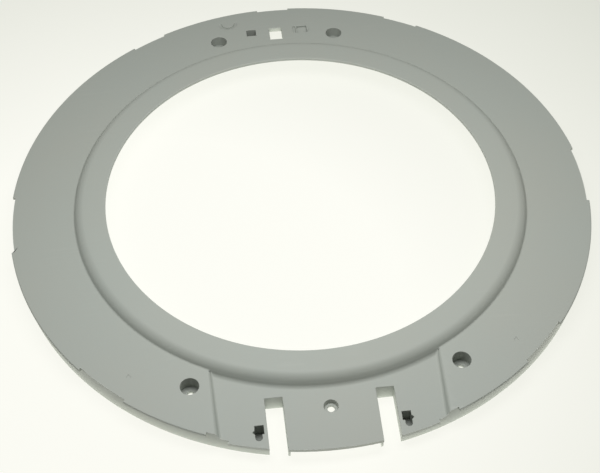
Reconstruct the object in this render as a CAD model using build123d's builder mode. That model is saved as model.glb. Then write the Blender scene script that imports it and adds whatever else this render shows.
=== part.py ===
from build123d import *
from math import asin, atan2, degrees, radians, tan
import os

# Inner frame of a front-loading washing machine's door: one injection-moulded plastic ring.
# Millimetres. The origin is on the ring's axis, in the plane of the skirt's lower edge.
# +Z is the side that faces the drum, +Y the latch side and -Y the hinge side.

# Section of the ring, from the porthole outwards and from the skirt's lower edge upwards
porthole_radius = 147.5  # opening for the glass bowl
collar_top_width = 20.3  # nearly flat top of the raised collar, up to its shoulder
collar_run = 3.7  # run of the collar's sloping outer wall
shoulder_round = 7.0  # rounding of the collar's shoulder
foot_bevel = 2.0  # bevel that eases the collar's foot into the flange
flange_width = 48.5  # from the collar's foot to the edge of the lip
lip_overhang = 2.2  # how far the lip stands out over the skirt
lip_height = 16.0  # upper face of the lip above the skirt's lower edge
flange_rise = 1.9  # climb of the flange from the lip to the collar
collar_rise = 5.5  # climb of the collar's outer wall
crown_rise = 0.4  # climb of the collar's top towards the porthole
wall = 2.5  # moulded wall of flange, skirt and collar

# Hinge recess in the flange
recess_half_width = 79.0  # from the middle to the top of each side ramp
recess_ramp = 2.6  # run of each side ramp at the lip
recess_wall_run = 1.5  # foot of the recess's rear wall, outside the collar's foot
recess_foot_drop = 2.5  # depth of the recess at the collar
recess_rim_drop = 4.7  # depth of the recess at the lip

# Slots for the two hinge arms, open at the rim
slot_spread = 76.6  # distance between the slots' middles
slot_width = 12.4
slot_inset = 6.0  # closed ends of the slots, outside the collar's foot
slot_wall = 1.6  # wall round each slot
slot_wall_lift = 1.5  # the slot walls end this far above the skirt's lower edge

# Keyhole pockets beside the slots
keyhole_gap = 2.4  # between the slot's edge and the pocket's square mouth
keyhole_inset = 19.6  # middle of the mouth, inside the edge of the lip
keyhole_width = 6.2
keyhole_length = 6.4
keyhole_tail_width = 4.7
keyhole_tail_length = 5.0
keyhole_tail_shift = 0.7  # the tail sits this much further from the slot than the mouth
keyhole_notch = 1.6  # small pointed notch in the side away from the slot

# Screw pockets and the countersunk hinge screw, all on one pitch circle
pitch_inset = 17.0  # pitch circle, outside the collar's foot
latch_screw_angle = 15.0  # each side of the latch, degrees
hinge_screw_angle = 30.0  # each side of the hinge, degrees
pocket_diameter = 13.2
pocket_wall = 2.0
pocket_floor = 2.5
boss_lift = 5.2  # the bosses of the screw pockets end this far above the skirt's lower edge
screw_hole = 4.6
hinge_hole = 5.0
hinge_boss_wall = 3.2
hinge_boss_depth = 4.6  # the hinge screw's boss ends this far below the recess floor
countersink_diameter = 10.8
countersink_angle = 90.0

# Latch opening, and the small pockets and the crescent groove beside it
latch_inset = 15.5  # middle of the opening, outside the collar's foot
latch_width = 10.4
latch_length = 14.6
latch_wall = 2.0
latch_depth = 4.4  # depth of the opening's wall below the flange's face
side_pocket_inset = 18.8  # middle of the small pockets, outside the collar's foot
side_pocket_spread = 41.4
deep_pocket_side = 7.8
shallow_pocket_width = 11.7
shallow_pocket_length = 8.3
shallow_pocket_depth = 1.3
shallow_pocket_rib = 1.2  # thickness of the rib that stands in the shallow pocket
shallow_pocket_rib_shift = 3.0  # from the pocket's middle towards the latch
crescent_offset = 39.6  # from the latch's middle line, on one side only
crescent_inset = 14.6  # inside the edge of the lip
crescent_diameter = 15.3
crescent_groove = 2.0
crescent_depth = 0.9

# Thin-walled boxes that close the keyhole pockets and the deep pocket underneath
box_wall = 1.6
box_lift = 1.5  # they end this far above the skirt's lower edge

# Cut-backs of the lip, in degrees from the latch, alike on both sides
latch_notch_width = 6.9
shoulder_notch_angle = 29.3
shoulder_notch_width = 7.7
side_notch_angle = 90.3
side_notch_width = 14.4
hinge_notch_angle = 135.0
hinge_notch_width = 11.1
ramp_notch_width = 4.0

# Underside
rib_count = 12
rib_thickness = 1.8
rib_lift = 10.0  # lower edge of the ribs above the skirt's lower edge

# Cuts run this far past the surfaces that they pass through
past = 1.0

# Worked out from the driving dimensions
shoulder_radius = porthole_radius + collar_top_width
foot_radius = shoulder_radius + collar_run
lip_radius = foot_radius + flange_width
skirt_radius = lip_radius - lip_overhang
skirt_inner = skirt_radius - wall
pitch_radius = foot_radius + pitch_inset
foot_height = lip_height + flange_rise
shoulder_height = foot_height + collar_rise
top_height = shoulder_height + crown_rise
wall_shift = wall * tan(atan2(collar_rise, collar_run) / 2)  # corners of the collar's inside, towards the axis
recess_foot_height = foot_height - recess_foot_drop
recess_rim_height = lip_height - recess_rim_drop
recess_wall_foot = foot_radius + recess_wall_run
slot_end = foot_radius + slot_inset
hinge_gap = slot_spread - slot_width - 2 * slot_wall
keyhole_offset = (slot_spread + slot_width + keyhole_width) / 2 + keyhole_gap
keyhole_reach = lip_radius - keyhole_inset
latch_reach = foot_radius + latch_inset
side_pocket_reach = foot_radius + side_pocket_inset
crescent_reach = lip_radius - crescent_inset
ramp_notch_angle = 180 - degrees(asin(recess_half_width / lip_radius))
lip_notches = (
    (0, latch_notch_width),
    (shoulder_notch_angle, shoulder_notch_width),
    (side_notch_angle, side_notch_width),
    (hinge_notch_angle, hinge_notch_width),
    (ramp_notch_angle, ramp_notch_width),
)


def flange_height(radius):
    """Height of the flange's upper face at a radius."""
    return lip_height + flange_rise * (lip_radius - radius) / flange_width


def recess_height(radius):
    """Height of the recess floor at a radius."""
    fall = recess_foot_height - recess_rim_height
    return recess_rim_height + fall * (lip_radius - radius) / flange_width


def recess_prism(half_width):
    """Block over the hinge side whose two sides have the recess's ramps."""
    lower = recess_rim_height - wall - past
    upper = shoulder_height + past
    inner = half_width - recess_ramp
    outer = inner + recess_ramp * (upper - recess_rim_height) / recess_rim_drop
    with BuildPart() as block:
        with BuildSketch(Plane.XZ):
            with BuildLine():
                Polyline(
                    (inner, lower),
                    (inner, recess_rim_height),
                    (outer, upper),
                    (-outer, upper),
                    (-inner, recess_rim_height),
                    (-inner, lower),
                    close=True,
                )
            make_face()
        extrude(amount=lip_radius + past)
    return block.part


# Pan under the hinge recess, as deep as the recess and one wall more
with BuildPart() as recess_pan:
    with BuildSketch(Plane.XZ):
        with BuildLine():
            Polyline(
                (foot_radius - wall, recess_foot_height - wall),
                (foot_radius, recess_foot_height - wall),
                (lip_radius, recess_rim_height - wall),
                (lip_radius, lip_height - wall / 2),
                (foot_radius, foot_height - wall / 2),
                (foot_radius - wall, foot_height - wall / 2),
                close=True,
            )
        make_face()
    revolve(axis=Axis.Z)
    add(recess_prism(recess_half_width + wall), mode=Mode.INTERSECT)

# Space above the floor of the hinge recess, with a sloping rear wall that starts halfway down the collar's wall
with BuildPart() as recess_space:
    with BuildSketch(Plane.XZ) as recess_section:
        with BuildLine():
            Polyline(
                (shoulder_radius + collar_run / 2, foot_height + collar_rise / 2),
                (recess_wall_foot, recess_height(recess_wall_foot)),
                (lip_radius + past, recess_height(lip_radius + past)),
                (lip_radius + past, shoulder_height + past),
                (shoulder_radius + collar_run / 2, shoulder_height + past),
                close=True,
            )
        make_face()
        foot = recess_section.vertices().sort_by_distance((recess_wall_foot, recess_height(recess_wall_foot)))
        chamfer(foot[0], foot_bevel)
    revolve(axis=Axis.Z)
    add(recess_prism(recess_half_width), mode=Mode.INTERSECT)

# One rib of the underside, from the collar's foot to the skirt and up into the flange
with BuildPart() as rib:
    with BuildSketch(Plane.XZ):
        with BuildLine():
            Polyline(
                (foot_radius, foot_height - wall / 2),
                (skirt_inner + wall / 2, lip_height - wall / 2),
                (skirt_inner + wall / 2, rib_lift),
                (foot_radius, rib_lift),
                close=True,
            )
        make_face()
    extrude(amount=rib_thickness / 2, both=True)

# Outline of the right-hand keyhole: square mouth, round-ended tail towards the rim, pointed notch
with BuildSketch() as keyhole:
    with Locations((keyhole_offset, -keyhole_reach)):
        Rectangle(keyhole_width, keyhole_length)
        with Locations((keyhole_tail_shift, -keyhole_length / 2)):
            Rectangle(
                keyhole_tail_width,
                keyhole_tail_length - keyhole_tail_width / 2,
                align=(Align.CENTER, Align.MAX),
            )
        with Locations((keyhole_tail_shift, -keyhole_length / 2 - keyhole_tail_length + keyhole_tail_width / 2)):
            Circle(keyhole_tail_width / 2)
        with Locations((keyhole_width / 2, -keyhole_length / 2 + keyhole_notch)):
            RegularPolygon(keyhole_notch, 4)

with BuildPart() as inner_door_frame:
    # Ring section: skirt, lip, flange and raised collar with its rounded shoulder and bevelled foot
    with BuildSketch(Plane.XZ) as section:
        with BuildLine():
            Polyline(
                (skirt_radius, lip_height - wall),
                (lip_radius, lip_height - wall),
                (lip_radius, lip_height),
                (foot_radius, foot_height),
                (shoulder_radius, shoulder_height),
                (porthole_radius, top_height),
                (porthole_radius, top_height - wall),
                (shoulder_radius - wall_shift, shoulder_height - wall),
                (foot_radius - wall_shift, foot_height - wall),
                (skirt_inner, flange_height(skirt_inner) - wall),
                (skirt_inner, 0),
                (skirt_radius, 0),
                close=True,
            )
        make_face()
        shoulder = section.vertices().sort_by_distance((shoulder_radius, shoulder_height))
        fillet(shoulder[0], shoulder_round)
        foot = section.vertices().sort_by_distance((foot_radius, foot_height))
        chamfer(foot[0], foot_bevel)
    revolve(axis=Axis.Z)

    # Ribs of the underside
    with PolarLocations(0, rib_count, start_angle=180 / rib_count):
        add(rib.part)

    # Pan of the hinge recess and walls of the hinge slots
    add(recess_pan.part)
    with BuildSketch(Plane.XY.offset(slot_wall_lift)):
        with Locations((-slot_spread / 2, -slot_end + slot_wall), (slot_spread / 2, -slot_end + slot_wall)):
            Rectangle(slot_width + 2 * slot_wall, lip_radius, align=(Align.CENTER, Align.MAX))
        Circle(skirt_radius - wall / 2, mode=Mode.INTERSECT)
    extrude(amount=recess_foot_height - wall / 2 - slot_wall_lift)

    # Boxes under the keyhole pockets and the deep pocket
    with BuildSketch(Plane.XY.offset(box_lift)):
        with Locations((keyhole_offset, -keyhole_reach + keyhole_length / 2 + box_wall)):
            Rectangle(
                keyhole_width + 2 * keyhole_notch + 2 * box_wall,
                keyhole_length + keyhole_tail_length + 2 * box_wall,
                align=(Align.CENTER, Align.MAX),
            )
        mirror(about=Plane.YZ)
    extrude(amount=recess_foot_height - wall / 2 - box_lift)
    with BuildSketch(Plane.XY.offset(box_lift)):
        with Locations((-side_pocket_spread / 2, side_pocket_reach)):
            Rectangle(deep_pocket_side + 2 * box_wall, deep_pocket_side + 2 * box_wall)
    extrude(amount=lip_height - wall / 2 - box_lift)

    # Bosses of the screw pockets and of the hinge screw
    with BuildSketch(Plane.XY.offset(boss_lift)):
        with PolarLocations(pitch_radius, 2, 90 - latch_screw_angle, 2 * latch_screw_angle, endpoint=True):
            Circle(pocket_diameter / 2 + pocket_wall)
        with PolarLocations(pitch_radius, 2, -90 - hinge_screw_angle, 2 * hinge_screw_angle, endpoint=True):
            Circle(pocket_diameter / 2 + pocket_wall)
    extrude(amount=lip_height - wall / 2 - boss_lift)
    with BuildSketch(Plane.XY.offset(recess_height(pitch_radius) - hinge_boss_depth)):
        with Locations((0, -pitch_radius)):
            Circle(hinge_hole / 2 + hinge_boss_wall)
    extrude(amount=hinge_boss_depth - wall / 2)

    # Wall round the latch opening
    with BuildSketch(Plane.XY.offset(flange_height(latch_reach) - latch_depth)):
        with Locations((0, latch_reach)):
            Rectangle(latch_width + 2 * latch_wall, latch_length + 2 * latch_wall)
    extrude(amount=latch_depth - wall / 2)

    # Hinge recess, gap in the skirt between the hinge arms, hinge slots and keyhole pockets
    add(recess_space.part, mode=Mode.SUBTRACT)
    with BuildSketch(Plane.XY.offset(-past)):
        Circle(lip_radius)
        Circle(skirt_inner - past, mode=Mode.SUBTRACT)
        with Locations((0, -lip_radius)):
            Rectangle(hinge_gap, 2 * flange_width, mode=Mode.INTERSECT)
    extrude(amount=recess_rim_height - wall + past, mode=Mode.SUBTRACT)
    with BuildSketch(Plane.XY.offset(-past)):
        with Locations((-slot_spread / 2, -slot_end), (slot_spread / 2, -slot_end)):
            Rectangle(slot_width, lip_radius, align=(Align.CENTER, Align.MAX))
    extrude(amount=top_height, mode=Mode.SUBTRACT)
    with BuildSketch(Plane.XY.offset(box_lift + box_wall)):
        add(keyhole.sketch)
        mirror(about=Plane.YZ)
    extrude(amount=top_height, mode=Mode.SUBTRACT)

    # Screw pockets, their through holes and the countersunk hinge screw hole
    with BuildSketch(Plane.XY.offset(boss_lift + pocket_floor)):
        with PolarLocations(pitch_radius, 2, 90 - latch_screw_angle, 2 * latch_screw_angle, endpoint=True):
            Circle(pocket_diameter / 2)
        with PolarLocations(pitch_radius, 2, -90 - hinge_screw_angle, 2 * hinge_screw_angle, endpoint=True):
            Circle(pocket_diameter / 2)
    extrude(amount=top_height, mode=Mode.SUBTRACT)
    with BuildSketch(Plane.XY.offset(-past)):
        with PolarLocations(pitch_radius, 2, 90 - latch_screw_angle, 2 * latch_screw_angle, endpoint=True):
            Circle(screw_hole / 2)
        with PolarLocations(pitch_radius, 2, -90 - hinge_screw_angle, 2 * hinge_screw_angle, endpoint=True):
            Circle(screw_hole / 2)
    extrude(amount=top_height, mode=Mode.SUBTRACT)
    with Locations((0, -pitch_radius, recess_height(pitch_radius))):
        CounterSinkHole(hinge_hole / 2, countersink_diameter / 2, counter_sink_angle=countersink_angle)

    # Latch opening, deep pocket and shallow pocket with its rib
    with BuildSketch(Plane.XY.offset(-past)):
        with Locations((0, latch_reach)):
            Rectangle(latch_width, latch_length)
    extrude(amount=top_height, mode=Mode.SUBTRACT)
    with BuildSketch(Plane.XY.offset(box_lift + box_wall)):
        with Locations((-side_pocket_spread / 2, side_pocket_reach)):
            Rectangle(deep_pocket_side, deep_pocket_side)
    extrude(amount=top_height, mode=Mode.SUBTRACT)
    with BuildSketch(Plane.XY.offset(flange_height(side_pocket_reach) - shallow_pocket_depth)):
        with Locations((side_pocket_spread / 2, side_pocket_reach)):
            Rectangle(shallow_pocket_width, shallow_pocket_length)
        with Locations((side_pocket_spread / 2 - shallow_pocket_rib_shift, side_pocket_reach)):
            Rectangle(shallow_pocket_rib, shallow_pocket_length, mode=Mode.SUBTRACT)
    extrude(amount=top_height, mode=Mode.SUBTRACT)

    # Crescent groove
    with BuildSketch(Plane.XY.offset(flange_height(crescent_reach) - crescent_depth)):
        with Locations((-crescent_offset, crescent_reach)):
            Circle(crescent_diameter / 2)
            Circle(crescent_diameter / 2 - crescent_groove, mode=Mode.SUBTRACT)
            Rectangle(
                crescent_diameter,
                crescent_diameter / 2,
                align=(Align.CENTER, Align.MIN),
                mode=Mode.SUBTRACT,
            )
    extrude(amount=top_height, mode=Mode.SUBTRACT)

    # Cut-backs of the lip
    with BuildSketch(Plane.XY.offset(-past)):
        for angle, width in lip_notches:
            reach = 2 * lip_radius
            half_chord = reach * tan(radians(width / 2))
            with PolarLocations(0, 1, start_angle=90 + angle):
                Polygon((0, 0), (reach, -half_chord), (reach, half_chord), align=None)
        mirror(about=Plane.YZ)
        Circle(lip_radius + past, mode=Mode.INTERSECT)
        Circle(skirt_radius, mode=Mode.SUBTRACT)
    extrude(amount=top_height, mode=Mode.SUBTRACT)

os.makedirs("parts", exist_ok=True)
inner_door_frame.part.label = "inner_door_frame"
export_step(inner_door_frame.part, "parts/inner_door_frame.step")
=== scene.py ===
import math

import bmesh
import bpy
from mathutils import Matrix, Vector


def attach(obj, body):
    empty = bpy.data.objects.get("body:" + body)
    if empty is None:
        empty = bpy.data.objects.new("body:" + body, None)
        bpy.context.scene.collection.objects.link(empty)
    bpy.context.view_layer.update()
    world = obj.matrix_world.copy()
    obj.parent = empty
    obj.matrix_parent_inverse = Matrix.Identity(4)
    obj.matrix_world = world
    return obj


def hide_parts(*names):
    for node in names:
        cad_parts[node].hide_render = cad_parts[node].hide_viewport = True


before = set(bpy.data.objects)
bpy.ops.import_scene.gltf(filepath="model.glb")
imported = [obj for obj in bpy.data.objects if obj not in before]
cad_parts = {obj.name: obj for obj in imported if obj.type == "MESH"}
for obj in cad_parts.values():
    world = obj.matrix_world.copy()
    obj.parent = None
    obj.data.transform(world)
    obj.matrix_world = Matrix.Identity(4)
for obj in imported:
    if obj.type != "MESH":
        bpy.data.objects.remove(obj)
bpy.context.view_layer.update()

# Body of the ring: one moulded section swept round the porthole, in grey polypropylene.
# From the porthole outwards it has a raised collar, a nearly flat flange and a lip over the skirt,
# on which it stands. Every corner has the small rounding of an injection mould.
wall = 0.0025
porthole_radius = 0.1475
shoulder_radius = 0.1690
foot_radius = 0.1715
lip_radius = 0.2200
skirt_radius = 0.2178
skirt_inner = skirt_radius - wall
lip_height = 0.0160
foot_height = 0.0179
shoulder_height = 0.0234
top_height = 0.0238
edge_round = 0.0005
lip_round = 0.0007
porthole_round = 0.0010
foot_round = 0.0009
shoulder_round = 0.0050
round_steps = 6
turn_steps = 288
ring_spacing = 0.0055
collar_slope = math.atan2(shoulder_height - foot_height, foot_radius - shoulder_radius)
inside_shift = wall * math.tan(collar_slope / 2)


def flange_height(radius):
    """Height of the flange's upper face at a radius."""
    return lip_height + (foot_height - lip_height) * (lip_radius - radius) / (lip_radius - foot_radius)


def outline(corners):
    """Upright face through corners given as radius, height and rounding."""
    shape = bmesh.new()
    points = [shape.verts.new((radius, 0.0, height)) for radius, height, rounding in corners]
    shape.faces.new(points)
    for point, (radius, height, rounding) in zip(points, corners):
        if rounding:
            bmesh.ops.bevel(
                shape, geom=[point], offset=rounding, offset_type="OFFSET", segments=round_steps,
                profile=0.5, affect="VERTICES", clamp_overlap=False, material=-1)
    return shape


def finished(name, shape):
    """Object made of a shape whose faces are turned outwards."""
    bmesh.ops.recalc_face_normals(shape, faces=shape.faces)
    mesh = bpy.data.meshes.new(name)
    shape.to_mesh(mesh)
    shape.free()
    made = bpy.data.objects.new(name, mesh)
    bpy.context.scene.collection.objects.link(made)
    return made


section = outline((
    (skirt_radius, 0.0, edge_round),
    (skirt_radius, lip_height - wall, edge_round),
    (lip_radius, lip_height - wall, edge_round),
    (lip_radius, lip_height, lip_round),
    (foot_radius, foot_height, foot_round),
    (shoulder_radius, shoulder_height, shoulder_round),
    (porthole_radius, top_height, porthole_round),
    (porthole_radius, top_height - wall, edge_round),
    (shoulder_radius - inside_shift, shoulder_height - wall, shoulder_round / 2),
    (foot_radius - inside_shift, foot_height - wall, shoulder_round / 2),
    (skirt_inner, flange_height(skirt_inner) - wall, edge_round),
    (skirt_inner, 0.0, edge_round),
))
bmesh.ops.delete(section, geom=section.faces[:], context="FACES_ONLY")
for edge in section.edges[:]:
    spans = round(edge.calc_length() / ring_spacing)
    if spans > 1:
        bmesh.ops.subdivide_edges(section, edges=[edge], cuts=spans - 1)
bmesh.ops.spin(
    section, geom=section.verts[:] + section.edges[:], cent=(0.0, 0.0, 0.0), axis=(0.0, 0.0, 1.0),
    angle=2 * math.pi, steps=turn_steps, use_merge=True)
ring = finished("inner_door_frame_moulding", section)

# Underside: ribs from the collar's foot to the skirt, bosses for the screws, walls round the hinge slots
# and the latch opening, and closed boxes under the small pockets. All are moulded in one with the ring.
pitch_radius = 0.1885
latch_screw_angle = math.radians(15.0)
hinge_screw_angle = math.radians(30.0)
screw_places = [
    (side * pitch_radius * math.sin(angle), end * pitch_radius * math.cos(angle))
    for side in (-1, 1) for end, angle in ((1, latch_screw_angle), (-1, hinge_screw_angle))
]
pocket_radius = 0.0066
pocket_wall = 0.0020
boss_low = 0.0052
boss_high = 0.0150
recess_half_width = 0.0790
recess_ramp = 0.0026
recess_rim_height = 0.0113
recess_foot_height = 0.0154
rib_count = 12
rib_thickness = 0.0018
rib_low = 0.0100
rib_high = 0.0156
slot_middle = 0.0383
slot_half = 0.0062
slot_end = 0.1775
slot_wall = 0.0016
slot_wall_low = 0.0015
slot_wall_high = 0.0141
slot_wall_overlap = 0.0002
keyhole_middle = 0.0500
keyhole_reach = 0.2004
keyhole_half = 0.0031
keyhole_half_length = 0.0032
keyhole_tail_half = 0.00235
keyhole_tail_length = 0.0050
keyhole_tail_shift = 0.0007
keyhole_notch = 0.0016
box_wall = 0.0016
box_low = 0.0015
latch_reach = 0.1870
latch_half = 0.0052
latch_half_length = 0.0073
latch_wall = 0.0020
latch_depth = 0.0044
side_pocket_middle = 0.0207
side_pocket_reach = 0.1903
deep_pocket_half = 0.0039
hinge_hole_radius = 0.0025
hinge_boss_radius = 0.0068
hinge_boss_depth = 0.0046
hinge_sweep = math.radians(70.0)
pan_clear = 0.0002
pillar_sides = 64


def recess_height(radius):
    """Height of the hinge recess's floor at a radius."""
    fall = (recess_foot_height - recess_rim_height) / (lip_radius - foot_radius)
    return recess_rim_height + fall * (lip_radius - radius)


def block(low, high, turn=0.0, about=(0.0, 0.0, 0.0)):
    """Box between two corners, turned about an upright axis."""
    low, high = Vector(low), Vector(high)
    shape = bmesh.new()
    bmesh.ops.create_cube(
        shape, size=1.0, matrix=Matrix.Translation((low + high) / 2) @ Matrix.Diagonal((*(high - low), 1.0)))
    bmesh.ops.rotate(shape, verts=shape.verts, cent=about, matrix=Matrix.Rotation(turn, 3, "Z"))
    return finished("block", shape)


def pillar(x, y, low, high, radius, top_radius=None):
    """Upright cylinder, or a cone where the top has its own radius."""
    shape = bmesh.new()
    bmesh.ops.create_cone(
        shape, cap_ends=True, segments=pillar_sides, radius1=radius, radius2=top_radius or radius,
        depth=high - low, matrix=Matrix.Translation((x, y, (low + high) / 2)))
    return finished("pillar", shape)


def sector(corners, middle, sweep):
    """Solid swept from an outline through part of a turn about the ring's axis."""
    shape = outline(corners)
    bmesh.ops.rotate(
        shape, verts=shape.verts, cent=(0.0, 0.0, 0.0), matrix=Matrix.Rotation(middle - sweep / 2, 3, "Z"))
    bmesh.ops.spin(
        shape, geom=shape.verts[:] + shape.edges[:] + shape.faces[:], cent=(0.0, 0.0, 0.0),
        axis=(0.0, 0.0, 1.0), angle=sweep, steps=max(2, round(turn_steps * sweep / (2 * math.pi))))
    return shape


def between_ramps(shape, half_width):
    """Trims a sector over the hinge side to the two sloping sides of the recess, and closes it again."""
    for side in (-1, 1):
        bmesh.ops.bisect_plane(
            shape, geom=shape.verts[:] + shape.edges[:] + shape.faces[:],
            plane_co=(side * half_width, 0.0, lip_height),
            plane_no=(side * (lip_height - recess_rim_height), 0.0, -recess_ramp), clear_outer=True)
        bmesh.ops.holes_fill(shape, edges=[edge for edge in shape.edges if edge.is_boundary])
    return shape


def combine(piece, solids, operation):
    """Joins solids to a piece or cuts them from it, and drops them."""
    tools = bpy.data.collections.new("tools")
    for solid in solids:
        tools.objects.link(solid)
    boolean = piece.modifiers.new("combine", "BOOLEAN")
    boolean.operation = operation
    boolean.solver = "EXACT"
    boolean.operand_type = "COLLECTION"
    boolean.collection = tools
    graph = bpy.context.evaluated_depsgraph_get()
    mesh = bpy.data.meshes.new_from_object(piece.evaluated_get(graph))
    piece.modifiers.clear()
    piece.data = mesh
    for solid in solids:
        bpy.data.objects.remove(solid)
    bpy.data.collections.remove(tools)


pan_radius = lip_radius - pan_clear
pan = sector((
    (foot_radius - wall, recess_foot_height - wall, 0.0),
    (foot_radius, recess_foot_height - wall, 0.0),
    (pan_radius, recess_rim_height - wall, 0.0),
    (pan_radius, lip_height - wall / 2, 0.0),
    (foot_radius - wall, foot_height - wall / 2, 0.0),
), -math.pi / 2, hinge_sweep)
additions = [finished("pan", between_ramps(pan, recess_half_width + wall))]
for number in range(rib_count):
    additions.append(block(
        (foot_radius, -rib_thickness / 2, rib_low), (skirt_inner + wall / 2, rib_thickness / 2, rib_high),
        turn=2 * math.pi * (number + 0.5) / rib_count))
for x, y in screw_places:
    additions.append(pillar(x, y, boss_low, boss_high, pocket_radius + pocket_wall))
hinge_floor = recess_height(pitch_radius)
additions.append(pillar(
    0.0, -pitch_radius, hinge_floor - hinge_boss_depth, hinge_floor - wall / 2, hinge_boss_radius))
skirt_middle = skirt_radius - wall / 2
for side in (-1, 1):
    near = side * (slot_middle - slot_half)
    far = side * (slot_middle + slot_half)
    for edge, out in ((near, -side), (far, side)):
        across = sorted((edge - out * slot_wall_overlap, edge + out * slot_wall))
        reach = -math.sqrt(skirt_middle ** 2 - max(abs(across[0]), abs(across[1])) ** 2)
        additions.append(block(
            (across[0], reach, slot_wall_low), (across[1], -slot_end + slot_wall, slot_wall_high)))
    across = sorted((near - side * slot_wall / 2, far + side * slot_wall / 2))
    additions.append(block(
        (across[0], -slot_end - slot_wall_overlap, slot_wall_low),
        (across[1], -slot_end + slot_wall, slot_wall_high)))
    box_half = keyhole_half + keyhole_notch + box_wall
    additions.append(block(
        (side * keyhole_middle - box_half,
         -keyhole_reach - keyhole_half_length - keyhole_tail_length - box_wall, box_low),
        (side * keyhole_middle + box_half, -keyhole_reach + keyhole_half_length + box_wall, slot_wall_high)))
box_half = deep_pocket_half + box_wall
additions.append(block(
    (-side_pocket_middle - box_half, side_pocket_reach - box_half, box_low),
    (-side_pocket_middle + box_half, side_pocket_reach + box_half, boss_high)))
latch_top = flange_height(latch_reach)
additions.append(block(
    (-latch_half - latch_wall, latch_reach - latch_half_length - latch_wall, latch_top - latch_depth),
    (latch_half + latch_wall, latch_reach + latch_half_length + latch_wall, latch_top - wall / 2)))
combine(ring, additions, "UNION")

# Hinge side: a shallow recess with sloping sides for the hinge plate, two slots open at the rim for its arms,
# a gap in the skirt between them, a keyhole pocket beside each slot and a sunk seat for the hinge screw.
over = 0.0300
below = -0.0010
recess_wall_run = 0.0015
recess_wall_foot = foot_radius + recess_wall_run
recess_wall_round = 0.0019
ramp_foot_round = 0.0014
ramp_foot_steps = 4
ramp_steep = 0.8
ramp_round = 0.0016
ramp_lift = 0.00006
flare_share = 1.05
gap_overlap = 0.0001
gap_half = slot_middle - slot_half - slot_wall + gap_overlap
gap_inner = 0.2125
seat_radius = 0.0054
seat_low_radius = 0.0044
seat_depth = 0.0029
cut_past = 0.0010
collar_middle = (shoulder_radius + foot_radius) / 2
collar_middle_height = (shoulder_height + foot_height) / 2
recess = between_ramps(sector((
    (collar_middle, collar_middle_height, 0.0),
    (recess_wall_foot, recess_height(recess_wall_foot), recess_wall_round),
    (lip_radius + cut_past, recess_height(lip_radius + cut_past), 0.0),
    (lip_radius + cut_past, over, 0.0),
    (collar_middle, over, 0.0),
), -math.pi / 2, hinge_sweep), recess_half_width)
ramp_feet = []
for edge in recess.edges:
    turned = [abs(face.normal.x) > ramp_steep for face in edge.link_faces]
    if any(turned) and not all(turned) and max(corner.co.z for corner in edge.verts) < foot_height:
        ramp_feet.append(edge)
bmesh.ops.bevel(
    recess, geom=ramp_feet, offset=ramp_foot_round, offset_type="OFFSET", segments=ramp_foot_steps,
    profile=0.5, affect="EDGES", clamp_overlap=False, material=-1)
cuts = [finished("recess", recess)]


def ramp_top(radius):
    """Point at a radius where the right ramp of the recess comes up to the flange."""
    height = flange_height(radius)
    x = recess_half_width + (height - lip_height) * recess_ramp / (lip_height - recess_rim_height)
    return Vector((x, -math.sqrt(radius ** 2 - x ** 2), height))


ramp_start = ramp_top(foot_radius + foot_round)
ramp_stop = ramp_top(lip_radius + cut_past)
ramp_side = Vector((recess_ramp, 0.0, lip_height - recess_rim_height)).normalized() * ramp_round * flare_share
for side in (-1, 1):
    flare = outline((
        (-ramp_side.x, -ramp_side.z, 0.0),
        (0.0, 0.0, ramp_round),
        (ramp_round * flare_share, ramp_lift, 0.0),
        (ramp_round * flare_share, ramp_round, 0.0),
        (-ramp_side.x, ramp_round, 0.0),
    ))
    bmesh.ops.translate(flare, verts=flare.verts, vec=ramp_start)
    grown = bmesh.ops.extrude_face_region(flare, geom=flare.faces[:])
    bmesh.ops.translate(
        flare, verts=[part for part in grown["geom"] if isinstance(part, bmesh.types.BMVert)],
        vec=ramp_stop - ramp_start)
    bmesh.ops.scale(flare, verts=flare.verts, vec=(side, 1.0, 1.0))
    cuts.append(finished("flare", flare))
cuts.append(block(
    (-gap_half, -lip_radius - cut_past, below), (gap_half, -gap_inner, recess_rim_height - wall)))
for side in (-1, 1):
    cuts.append(block(
        (side * slot_middle - slot_half, -lip_radius - cut_past, below),
        (side * slot_middle + slot_half, -slot_end, over)))
    x = side * keyhole_middle
    floor_height = box_low + box_wall
    cuts.append(block(
        (x - keyhole_half, -keyhole_reach - keyhole_half_length, floor_height),
        (x + keyhole_half, -keyhole_reach + keyhole_half_length, over)))
    tail = x + side * keyhole_tail_shift
    tail_end = -keyhole_reach - keyhole_half_length - keyhole_tail_length + keyhole_tail_half
    cuts.append(block(
        (tail - keyhole_tail_half, tail_end, floor_height),
        (tail + keyhole_tail_half, -keyhole_reach, over)))
    cuts.append(pillar(tail, tail_end, floor_height, over, keyhole_tail_half))
    notch = Vector((x + side * keyhole_half, -keyhole_reach - keyhole_half_length + keyhole_notch, 0.0))
    reach = keyhole_notch / math.sqrt(2)
    cuts.append(block(
        notch + Vector((-reach, -reach, floor_height)), notch + Vector((reach, reach, over)),
        turn=math.pi / 4, about=notch))
seat_floor = hinge_floor - seat_depth
cuts.append(pillar(0.0, -pitch_radius, below, hinge_floor, hinge_hole_radius))
cuts.append(pillar(0.0, -pitch_radius, seat_floor, hinge_floor + cut_past, seat_low_radius, seat_radius))

# Screw pockets: four round wells on one pitch circle, each with a hole through its floor for the screw
# that holds the frame to the outer door frame.
pocket_floor = 0.0025
screw_hole_radius = 0.0023
for x, y in screw_places:
    cuts.append(pillar(x, y, boss_low + pocket_floor, over, pocket_radius))
    cuts.append(pillar(x, y, below, over, screw_hole_radius))

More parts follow.
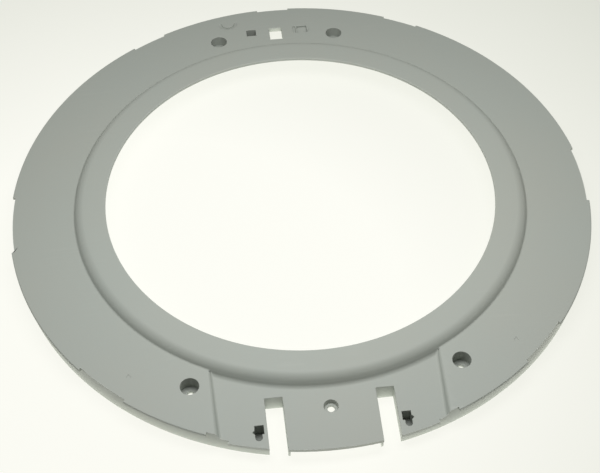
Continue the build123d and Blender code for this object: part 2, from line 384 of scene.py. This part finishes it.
# Latch side: the opening for the latch's hook, a deep square pocket on one side of it, a shallow one with a
# standing rib on the other, and a crescent groove near the rim.
shallow_pocket_half = 0.00585
shallow_pocket_half_length = 0.00415
shallow_pocket_depth = 0.0013
shallow_pocket_low = 0.0021
shallow_rib = side_pocket_middle - 0.0030
shallow_rib_half = 0.0006
crescent_place = Vector((-0.0396, 0.2054, 0.0))
crescent_inner = 0.0053
crescent_outer = 0.0080
crescent_depth = 0.0009
crescent_steps = 32
cuts.append(block(
    (-latch_half, latch_reach - latch_half_length, below),
    (latch_half, latch_reach + latch_half_length, over)))
cuts.append(block(
    (-side_pocket_middle - deep_pocket_half, side_pocket_reach - deep_pocket_half, box_low + box_wall),
    (-side_pocket_middle + deep_pocket_half, side_pocket_reach + deep_pocket_half, over)))
for left, right, depth in (
        (side_pocket_middle - shallow_pocket_half, shallow_rib - shallow_rib_half, shallow_pocket_depth),
        (shallow_rib + shallow_rib_half, side_pocket_middle + shallow_pocket_half, shallow_pocket_low)):
    cuts.append(block(
        (left, side_pocket_reach - shallow_pocket_half_length, flange_height(side_pocket_reach) - depth),
        (right, side_pocket_reach + shallow_pocket_half_length, over)))
crescent_floor = flange_height(crescent_place.length) - crescent_depth
crescent = outline((
    (crescent_inner, crescent_floor, 0.0),
    (crescent_outer, crescent_floor + crescent_depth, 0.0),
    (crescent_outer, over, 0.0),
    (crescent_inner, over, 0.0),
))
bmesh.ops.rotate(
    crescent, verts=crescent.verts, cent=(0.0, 0.0, 0.0), matrix=Matrix.Rotation(math.pi, 3, "Z"))
bmesh.ops.spin(
    crescent, geom=crescent.verts[:] + crescent.edges[:] + crescent.faces[:], cent=(0.0, 0.0, 0.0),
    axis=(0.0, 0.0, 1.0), angle=math.pi, steps=crescent_steps)
bmesh.ops.translate(crescent, verts=crescent.verts, vec=crescent_place)
cuts.append(finished("crescent", crescent))

# Rim: the lip is cut back to the skirt in nine places, where the mould's slides shut off, and two small
# chevrons are pressed into the flange beside the hinge recess.
notch_clear = 0.00005
notch_inner = skirt_radius + notch_clear
notch_places = (
    (0.0, 6.9), (29.3, 7.7), (90.3, 14.4), (135.0, 11.1),
    (180.0 - math.degrees(math.asin(recess_half_width / lip_radius)), 4.0))
chevron_place = (0.1354, 0.1486)
chevron_length = 0.0028
chevron_width = 0.0006
chevron_depth = 0.0003
chevron_turn = math.radians(58.0)
for angle, width in notch_places:
    for side in (-1, 1) if angle else (1,):
        cuts.append(finished("notch", sector((
            (notch_inner, below, 0.0),
            (lip_radius + cut_past, below, 0.0),
            (lip_radius + cut_past, over, 0.0),
            (notch_inner, over, 0.0),
        ), math.pi / 2 + side * math.radians(angle), math.radians(width))))
chevron_height = flange_height(math.hypot(*chevron_place))
for side in (-1, 1):
    for lean in (-1, 1):
        apex = Vector((side * chevron_place[0], -chevron_place[1], 0.0))
        cuts.append(block(
            apex + Vector((-chevron_width / 2, -chevron_width / 2, chevron_height - chevron_depth)),
            apex + Vector((chevron_length, chevron_width / 2, over)),
            turn=-math.pi / 2 + lean * (math.pi / 2 - chevron_turn), about=apex))
combine(ring, cuts, "DIFFERENCE")

# Edges and faces of the moulding: where an upper face turns down into an opening the mould leaves a small
# rounding, and the faces run smoothly into each other everywhere else.
opening_round = 0.0004
opening_steps = 3
opening_turn = math.radians(35.0)
level_face = 0.9
upright_face = 0.1
lip_margin = 0.0003
lip_clear = skirt_radius - lip_margin
mark_clear = 0.0060
weld_distance = 0.00003
shape = bmesh.new()
shape.from_mesh(ring.data)
bmesh.ops.remove_doubles(shape, verts=shape.verts, dist=weld_distance)
opening_edges = []
for edge in shape.edges:
    if not edge.is_manifold or edge.calc_face_angle_signed() < opening_turn:
        continue
    steepest, flattest = sorted(face.normal.z for face in edge.link_faces)
    middle = (edge.verts[0].co + edge.verts[1].co) / 2
    beside_mark = math.hypot(abs(middle.x) - chevron_place[0], middle.y + chevron_place[1]) < mark_clear
    turns_down = flattest > level_face and abs(steepest) < upright_face
    if turns_down and middle.xy.length < lip_clear and not beside_mark:
        opening_edges.append(edge)
bmesh.ops.bevel(
    shape, geom=opening_edges, offset=opening_round, offset_type="OFFSET", segments=opening_steps,
    profile=0.5, affect="EDGES", clamp_overlap=False, material=-1)
for face in shape.faces:
    face.smooth = True
    face.material_index = 0
shape.to_mesh(ring.data)
shape.free()
ring.data.set_sharp_from_angle(angle=opening_turn)
even_shading = ring.modifiers.new("even_shading", "WEIGHTED_NORMAL")
even_shading.keep_sharp = True

# Surface of the moulding: grey-green polypropylene with a fine eroded grain, slightly cloudy in colour where
# the melt cooled unevenly, and paler along convex edges, partly from rubbing and partly as a painted
# highlight.
# It has a few light scuffs from handling, and painted shade darkens the corners and the floors of the
# pockets.


class Field:
    """A shader socket that can be reckoned with like a number."""

    def __init__(self, tree, socket):
        self.tree = tree
        self.socket = socket

    def node(self, kind, settings, inputs, output=0):
        """Adds a node, with settings by name and values or other fields by socket, and gives one output."""
        made = self.tree.nodes.new(kind)
        for name, value in settings.items():
            setattr(made, name, value)
        for name, value in inputs.items():
            if isinstance(value, Field):
                self.tree.links.new(value.socket, made.inputs[name])
            else:
                made.inputs[name].default_value = value
        return Field(self.tree, made.outputs[output] if made.outputs else None)

    def math(self, operation, *values):
        """Adds a Math node over this field and further values."""
        return self.node("ShaderNodeMath", {"operation": operation}, dict(enumerate((self, *values))))

    def colours(self, first, second):
        """Colour that goes from the first to the second with this field."""
        return self.node("ShaderNodeMix", {"data_type": "RGBA"}, {"Factor": self, 6: first, 7: second}, 2)

    def __add__(self, other):
        return self.math("ADD", other)

    def __sub__(self, other):
        return self.math("SUBTRACT", other)

    def __rsub__(self, other):
        return self.math("MULTIPLY", -1.0).math("ADD", other)

    def __mul__(self, other):
        return self.math("MULTIPLY", other)

    __radd__ = __add__
    __rmul__ = __mul__


def new_material(name):
    """An empty node material and the field its nodes are added through."""
    material = bpy.data.materials.new(name)
    material.use_nodes = True
    material.node_tree.nodes.clear()
    return material, Field(material.node_tree, None)


plastic_grey = (0.386, 0.430, 0.398, 1.0)
plastic_warm = (0.416, 0.424, 0.372, 1.0)
# Paler tone for convex edges: partly rubbed wear, partly a painted highlight.
plastic_rubbed_highlit = (0.47, 0.49, 0.45, 1.0)
# Dark tone of painted shade, laid in the corners and on the floors of pockets.
painted_shade = (0.11, 0.12, 0.11, 1.0)
cloud_scale = 9.0
speckle_scale = 420.0
grain_scale = 1700.0
grain_depth = 0.0001
grain_strength = 0.25
scuff_turn = (0.0, 0.0, 0.6)
scuff_scale = (18.0, 420.0, 60.0)
patch_scale = 26.0
rubbed_highlight_reach = 0.0011
shade_reach = 0.012
plastic_index = 1.49
plastic_specular = 0.45
plastic, paint = new_material("frame_plastic_moulded")
place = paint.node("ShaderNodeTexCoord", {}, {}, "Object")
cloud = paint.node(
    "ShaderNodeTexNoise", {},
    {"Vector": place, "Scale": cloud_scale, "Detail": 3.0, "Roughness": 0.55}, "Fac")
speckle = paint.node(
    "ShaderNodeTexNoise", {}, {"Vector": place, "Scale": speckle_scale, "Detail": 2.0}, "Fac")
grain = paint.node(
    "ShaderNodeTexNoise", {}, {"Vector": place, "Scale": grain_scale, "Detail": 2.0, "Roughness": 0.6}, "Fac")
stretched = paint.node(
    "ShaderNodeMapping", {}, {"Vector": place, "Rotation": scuff_turn, "Scale": scuff_scale})
streaks = paint.node("ShaderNodeTexNoise", {}, {"Vector": stretched, "Scale": 1.0, "Detail": 2.0}, "Fac")
patches = paint.node("ShaderNodeTexNoise", {}, {"Vector": place, "Scale": patch_scale, "Detail": 1.0}, "Fac")
scuffs = paint.node(
    "ShaderNodeMapRange", {"interpolation_type": "SMOOTHSTEP"},
    {"Value": streaks * patches, "From Min": 0.34, "From Max": 0.46, "To Min": 0.0, "To Max": 1.0})
thickness = paint.node(
    "ShaderNodeAmbientOcclusion", {"samples": 8, "inside": True, "only_local": True},
    {"Distance": rubbed_highlight_reach}, "AO")
# Convex edges, found by occlusion from inside, are painted paler: partly rubbed wear and partly a painted
# highlight.
rubbed_highlight = paint.node(
    "ShaderNodeMapRange", {"interpolation_type": "SMOOTHSTEP"},
    {"Value": thickness + patches * 0.25, "From Min": 1.00, "From Max": 0.62})
# Painted shade: occlusion darkens concave corners a little, and upward faces deep in pockets and hollows
# strongly.
openness = paint.node(
    "ShaderNodeAmbientOcclusion", {"samples": 8, "only_local": True}, {"Distance": shade_reach}, "AO")
deep_shade = paint.node(
    "ShaderNodeMapRange", {}, {"Value": openness, "From Min": 0.36, "From Max": 0.16, "To Max": 0.70})
# Painted shade in concave corners.
corner = paint.node(
    "ShaderNodeMapRange", {}, {"Value": openness, "From Min": 0.92, "From Max": 0.45, "To Max": 0.12})
facing = paint.node("ShaderNodeTexCoord", {}, {}, "Normal")
facing_up = paint.node("ShaderNodeSeparateXYZ", {}, {"Vector": facing}, "Z")
upward = paint.node("ShaderNodeMapRange", {}, {"Value": facing_up, "From Min": 0.4, "From Max": 0.9})
tint = (cloud * 0.7 + speckle * 0.3).colours(plastic_grey, plastic_warm)
tint = (rubbed_highlight * 0.30 + scuffs * 0.12).colours(tint, plastic_rubbed_highlit)
tint = (deep_shade * upward + corner).colours(tint, painted_shade)
bumped = paint.node("ShaderNodeBump", {}, {
    "Strength": grain_strength, "Distance": grain_depth, "Height": grain + speckle * 0.6 - scuffs * 0.5})
shader = paint.node("ShaderNodeBsdfPrincipled", {}, {
    "Base Color": tint, "Roughness": 0.50 + 0.10 * grain - scuffs * 0.08, "IOR": plastic_index,
    "Specular IOR Level": plastic_specular, "Normal": bumped})
paint.node("ShaderNodeOutputMaterial", {}, {"Surface": shader})
ring.data.materials.clear()
ring.data.materials.append(plastic)
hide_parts("inner_door_frame")
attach(ring, "root")

# Table: a plain white sheet lit from below as well as from above, as a small-product table is.
# It stands under the skirt and keeps the frame's shadow. Where the camera sees it, its colour is a painted
# pool of light, brightest round a point near the front left of the frame and a little darker towards the far
# side.
table_half = 3.0
table_white = (0.90, 0.90, 0.86, 1.0)
painted_pool_near = (1.0, 1.0, 0.93, 1.0)
painted_pool_far = (0.66, 0.68, 0.60, 1.0)
glow_dim = (0.60, 0.60, 0.56, 1.0)
glow_strong = (3.0, 3.0, 2.8, 1.0)
glow_middle = 0.184
glow_full = 0.039
glow_end = 0.054
painted_pool_middle = (-0.12, -0.10, 0.0)
fade_start = 0.19
fade_end = 0.64
unseen_glow = 0.75
shown_glow = 0.90


def looked_at(paint):
    """One for rays from the camera, a reflection or a see-through piece, and nought for all others."""
    camera, glossy, through = (
        paint.node("ShaderNodeLightPath", {}, {}, kind)
        for kind in ("Is Camera Ray", "Is Glossy Ray", "Is Transmission Ray"))
    return camera + glossy + through


sheet, paint = new_material("white_table")
place = paint.node("ShaderNodeTexCoord", {}, {}, "Object")
# Painted pool of light on the sheet as the camera sees it: bright near a point at the front left, fading to a
# darker tone further off.
away = paint.node("ShaderNodeVectorMath", {"operation": "DISTANCE"}, {0: place, 1: painted_pool_middle}, "Value")
painted_pool_fade = paint.node("ShaderNodeMapRange", {}, {"Value": away, "From Min": fade_start, "From Max": fade_end})
lit = paint.node("ShaderNodeBsdfDiffuse", {}, {"Color": table_white})
painted_pool = paint.node(
    "ShaderNodeEmission", {}, {"Color": painted_pool_fade.colours(painted_pool_near, painted_pool_far), "Strength": 1.0})
outward = paint.node("ShaderNodeVectorMath", {"operation": "LENGTH"}, {0: place}, "Value")
under = paint.node(
    "ShaderNodeMapRange", {"interpolation_type": "SMOOTHSTEP"},
    {"Value": (outward - glow_middle).math("ABSOLUTE"), "From Min": glow_end, "From Max": glow_full})
glow = paint.node(
    "ShaderNodeEmission", {}, {"Color": under.colours(glow_dim, glow_strong), "Strength": 1.0})
unseen = paint.node("ShaderNodeMixShader", {}, {0: unseen_glow, 1: lit, 2: glow})
shown = paint.node("ShaderNodeMixShader", {}, {0: shown_glow, 1: lit, 2: painted_pool})
surface = paint.node("ShaderNodeMixShader", {}, {0: looked_at(paint), 1: unseen, 2: shown})
paint.node("ShaderNodeOutputMaterial", {}, {"Surface": surface})
shape = bmesh.new()
bmesh.ops.create_grid(shape, x_segments=1, y_segments=1, size=table_half)
table = finished("white_table", shape)
table.data.materials.append(sheet)

# Light: a soft box close above the frame, a little nearer to the hinge side, in a dim even room.
# It is longer from side to side, and hangs level, so the slopes that face the camera fall into shade.
room_level = 0.15
room_white = (1.0, 1.0, 0.985, 1.0)
room_far = (0.612, 0.630, 0.558, 1.0)
box_place = (0.0, -0.047, 0.52)
box_size = (0.55, 0.24)
box_power = 2.62
room = bpy.data.worlds.new("room")
room.use_nodes = True
room.node_tree.nodes.clear()
air = Field(room.node_tree, None)
dim = air.node("ShaderNodeBackground", {}, {"Color": room_white, "Strength": room_level})
pale = air.node("ShaderNodeBackground", {}, {"Color": room_far, "Strength": 1.0})
surface = air.node("ShaderNodeMixShader", {}, {0: looked_at(air), 1: dim, 2: pale})
air.node("ShaderNodeOutputWorld", {}, {"Surface": surface})
bpy.context.scene.world = room
soft_box = bpy.data.lights.new("long_soft_box", "AREA")
soft_box.shape = "RECTANGLE"
soft_box.size, soft_box.size_y = box_size
soft_box.energy = box_power
holder = bpy.data.objects.new("long_soft_box", soft_box)
holder.matrix_world = Matrix.Translation(box_place)
holder.visible_camera = False
bpy.context.scene.collection.objects.link(holder)

# Camera: it stands in front of the hinge side, about a metre away, and looks down at the frame from
# about half-way up, turned and rolled a little as a camera held by hand is.
view_turn = math.radians(5.678)
view_rise = math.radians(49.93)
view_roll = math.radians(0.902)
view_centre = (0.0, 0.0, 0.016)
view_offset = (-0.000607, -0.029646, 1.050)
sensor_width = 36.0
focal_length = 82.54
lens = bpy.data.cameras.new("front_camera")
lens.sensor_width = sensor_width
lens.lens = focal_length
camera = bpy.data.objects.new("front_camera", lens)
camera.matrix_world = (
    Matrix.Translation(view_centre) @ Matrix.Rotation(-view_turn, 4, "Z")
    @ Matrix.Rotation(math.pi / 2 - view_rise, 4, "X") @ Matrix.Translation(view_offset)
    @ Matrix.Rotation(-view_roll, 4, "Z"))
bpy.context.scene.collection.objects.link(camera)
bpy.context.scene.camera = camera
bpy.context.scene.view_settings.view_transform = "Standard"
